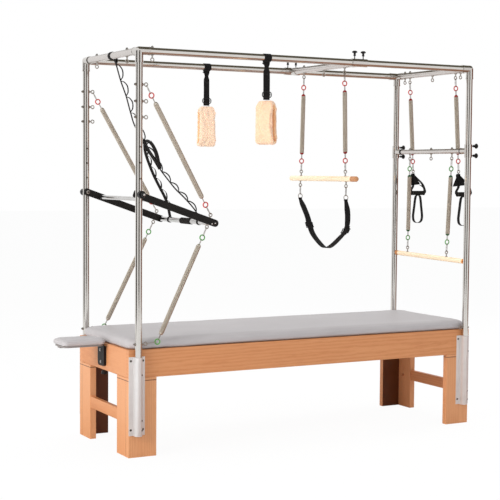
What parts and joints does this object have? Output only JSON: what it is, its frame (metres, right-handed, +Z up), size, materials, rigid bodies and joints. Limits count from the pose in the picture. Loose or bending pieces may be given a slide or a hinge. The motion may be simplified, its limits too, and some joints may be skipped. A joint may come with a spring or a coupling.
{
  "type": "pilates trapeze table",
  "caption": "Pilates trapeze table: padded wooden bed in a four-post tube canopy with sliding trapeze, push-through bar, roll-down bar, arm springs and fleece slings.",
  "frame": {"origin": "on the floor under the middle of the bed, halfway between the four posts", "axes": "+X along the bed from the push-through bar end to the roll-down end, +Y across to the rear posts, +Z up"},
  "size_m": [2.6074, 0.8986, 2.2186],
  "materials": {
    "wood": "satin",
    "bar_wood": "satin",
    "upholstery": "matt",
    "tube": "satin",
    "fitting": "satin",
    "steel": "satin",
    "chrome": "polished",
    "black_steel": "satin",
    "black_plastic": "matt",
    "black_rubber": "matt",
    "webbing": "matt",
    "fleece": "soft"
  },
  "bodies": {
    "frame": {"front_rail": "wood", "rear_rail": "wood", "end_rails": "wood", "leg_front_left": "wood", "leg_rear_left": "wood", "leg_front_right": "wood", "leg_rear_right": "wood", "end_stretchers": "wood", "bed_deck": "wood", "mattress": "upholstery", "post_front_left": "tube", "post_rear_left": "tube", "post_front_right": "tube", "post_rear_right": "tube", "front_top_rail": "tube", "rear_top_rail": "tube", "top_cross_tubes": "tube", "corner_fittings": "fitting", "post_holders": "fitting", "frame_eyebolts": "steel", "headrest_bracket": "black_steel", "push_springs": "steel", "safety_strap": "webbing"},
    "headrest": {"headrest_pad": "upholstery", "headrest_support": "black_steel"},
    "headrest_knob": {"headrest_knob": "black_plastic"},
    "slider": {"slider_sleeves": "fitting", "slider_crossbar": "tube"},
    "trapeze": {"trapeze_springs": "steel", "trapeze_links": "steel", "trapeze_bar": "bar_wood"},
    "trapeze_strap": {"trapeze_strap": "webbing"},
    "roll_down_crossbar": {"crossbar_sleeves": "fitting", "crossbar_tube": "tube"},
    "roll_down": {"roll_down_springs": "steel", "roll_down_bar": "bar_wood"},
    "arm_spring_rear": {"arm_spring_rear": "steel"},
    "arm_handle_rear": {"arm_handle_rear": "webbing"},
    "arm_spring_front": {"arm_spring_front": "steel"},
    "arm_handle_front": {"arm_handle_front": "webbing"},
    "push_bar": {"push_bar_arms": "black_steel", "push_bar_tubes": "chrome", "push_bar_grip": "black_rubber"},
    "pivot_knob_front": {"pivot_knob_front": "black_plastic"},
    "pivot_knob_rear": {"pivot_knob_rear": "black_plastic"},
    "sling_rear_hitch": {"sling_rear_hitch": "webbing"},
    "sling_rear": {"sling_rear_strap": "webbing", "sling_rear_fleece": "fleece"},
    "sling_front_hitch": {"sling_front_hitch": "webbing"},
    "sling_front": {"sling_front_strap": "webbing", "sling_front_fleece": "fleece"},
    "slider_knob_front_left": {"slider_knob_front_left": "black_plastic"},
    "slider_knob_front_right": {"slider_knob_front_right": "black_plastic"},
    "slider_knob_rear_left": {"slider_knob_rear_left": "black_plastic"},
    "slider_knob_rear_right": {"slider_knob_rear_right": "black_plastic"},
    "crossbar_knob_front_upper": {"crossbar_knob_front_upper": "black_plastic"},
    "crossbar_knob_front_lower": {"crossbar_knob_front_lower": "black_plastic"},
    "crossbar_knob_rear_upper": {"crossbar_knob_rear_upper": "black_plastic"},
    "crossbar_knob_rear_lower": {"crossbar_knob_rear_lower": "black_plastic"}
  },
  "joints": [
    {"name": "headrest_lift", "type": "slide", "parent": "frame", "child": "headrest", "axis": [0, 0, 1], "range_m": [0, 0.12]},
    {"name": "headrest_knob_turn", "type": "hinge", "parent": "frame", "child": "headrest_knob", "pos_m": [-1.1075, 0.028, 0.418], "axis": [0, 0, 1], "continuous": true},
    {"name": "slider_slide", "type": "slide", "parent": "frame", "child": "slider", "axis": [1, 0, 0], "range_m": [-0.25, 0.05]},
    {"name": "slider_knob_front_left_turn", "type": "hinge", "parent": "slider", "child": "slider_knob_front_left", "pos_m": [0.256, -0.379, 2.2], "axis": [0, 0, 1], "continuous": true},
    {"name": "slider_knob_front_right_turn", "type": "hinge", "parent": "slider", "child": "slider_knob_front_right", "pos_m": [0.314, -0.379, 2.2], "axis": [0, 0, 1], "continuous": true},
    {"name": "slider_knob_rear_left_turn", "type": "hinge", "parent": "slider", "child": "slider_knob_rear_left", "pos_m": [0.256, 0.379, 2.2], "axis": [0, 0, 1], "continuous": true},
    {"name": "slider_knob_rear_right_turn", "type": "hinge", "parent": "slider", "child": "slider_knob_rear_right", "pos_m": [0.314, 0.379, 2.2], "axis": [0, 0, 1], "continuous": true},
    {"name": "crossbar_knob_front_upper_turn", "type": "hinge", "parent": "roll_down_crossbar", "child": "crossbar_knob_front_upper", "pos_m": [1.1195, -0.379, 1.69], "axis": [1, 0, 0], "continuous": true},
    {"name": "crossbar_knob_front_lower_turn", "type": "hinge", "parent": "roll_down_crossbar", "child": "crossbar_knob_front_lower", "pos_m": [1.1195, -0.379, 1.632], "axis": [1, 0, 0], "continuous": true},
    {"name": "crossbar_knob_rear_upper_turn", "type": "hinge", "parent": "roll_down_crossbar", "child": "crossbar_knob_rear_upper", "pos_m": [1.1195, 0.379, 1.69], "axis": [1, 0, 0], "continuous": true},
    {"name": "crossbar_knob_rear_lower_turn", "type": "hinge", "parent": "roll_down_crossbar", "child": "crossbar_knob_rear_lower", "pos_m": [1.1195, 0.379, 1.632], "axis": [1, 0, 0], "continuous": true},
    {"name": "trapeze_swing", "type": "hinge", "parent": "slider", "child": "trapeze", "pos_m": [0.285, 0, 2.106], "axis": [0, 1, 0], "range_deg": [-20, 20]},
    {"name": "trapeze_strap_swing", "type": "hinge", "parent": "trapeze", "child": "trapeze_strap", "pos_m": [0.285, 0, 1.445], "axis": [0, 1, 0], "range_deg": [-10, 10]},
    {"name": "roll_down_crossbar_slide", "type": "slide", "parent": "frame", "child": "roll_down_crossbar", "axis": [0, 0, 1], "range_m": [-0.33, 0]},
    {"name": "roll_down_swing", "type": "hinge", "parent": "roll_down_crossbar", "child": "roll_down", "pos_m": [1.0795, 0, 1.616], "axis": [0, 1, 0], "range_deg": [0, 25]},
    {"name": "arm_spring_rear_swing", "type": "hinge", "parent": "frame", "child": "arm_spring_rear", "pos_m": [1.0795, 0.232, 2.106], "axis": [0, -1, 0], "range_deg": [0, 45]},
    {"name": "arm_handle_rear_swing", "type": "hinge", "parent": "arm_spring_rear", "child": "arm_handle_rear", "pos_m": [1.11542, 0.232, 1.53513], "axis": [0, -1, 0], "range_deg": [0, 30]},
    {"name": "arm_spring_front_swing", "type": "hinge", "parent": "frame", "child": "arm_spring_front", "pos_m": [1.0795, -0.242, 2.106], "axis": [0, -1, 0], "range_deg": [0, 45]},
    {"name": "arm_handle_front_swing", "type": "hinge", "parent": "arm_spring_front", "child": "arm_handle_front", "pos_m": [1.11542, -0.242, 1.53513], "axis": [0, -1, 0], "range_deg": [0, 30]},
    {"name": "push_bar_swing", "type": "hinge", "parent": "frame", "child": "push_bar", "pos_m": [-1.0795, 0, 1.4], "axis": [0, -1, 0], "range_deg": [-65, 95], "deforming": ["push_springs", "safety_strap"]},
    {"name": "pivot_knob_front_turn", "type": "hinge", "parent": "frame", "child": "pivot_knob_front", "pos_m": [-1.0795, -0.424, 1.4], "axis": [0, -1, 0], "continuous": true},
    {"name": "pivot_knob_rear_turn", "type": "hinge", "parent": "frame", "child": "pivot_knob_rear", "pos_m": [-1.0795, 0.424, 1.4], "axis": [0, 1, 0], "continuous": true},
    {"name": "sling_rear_slide", "type": "slide", "parent": "frame", "child": "sling_rear_hitch", "axis": [1, 0, 0], "range_m": [-0.22, 0.05]},
    {"name": "sling_rear_swing", "type": "hinge", "parent": "sling_rear_hitch", "child": "sling_rear", "pos_m": [-0.308, 0.379, 2.15], "axis": [1, 0, 0], "range_deg": [-15, 15]},
    {"name": "sling_front_slide", "type": "slide", "parent": "frame", "child": "sling_front_hitch", "axis": [1, 0, 0], "range_m": [-0.22, 0.05]},
    {"name": "sling_front_swing", "type": "hinge", "parent": "sling_front_hitch", "child": "sling_front", "pos_m": [-0.318, -0.379, 2.15], "axis": [1, 0, 0], "range_deg": [-15, 15]}
  ]
}
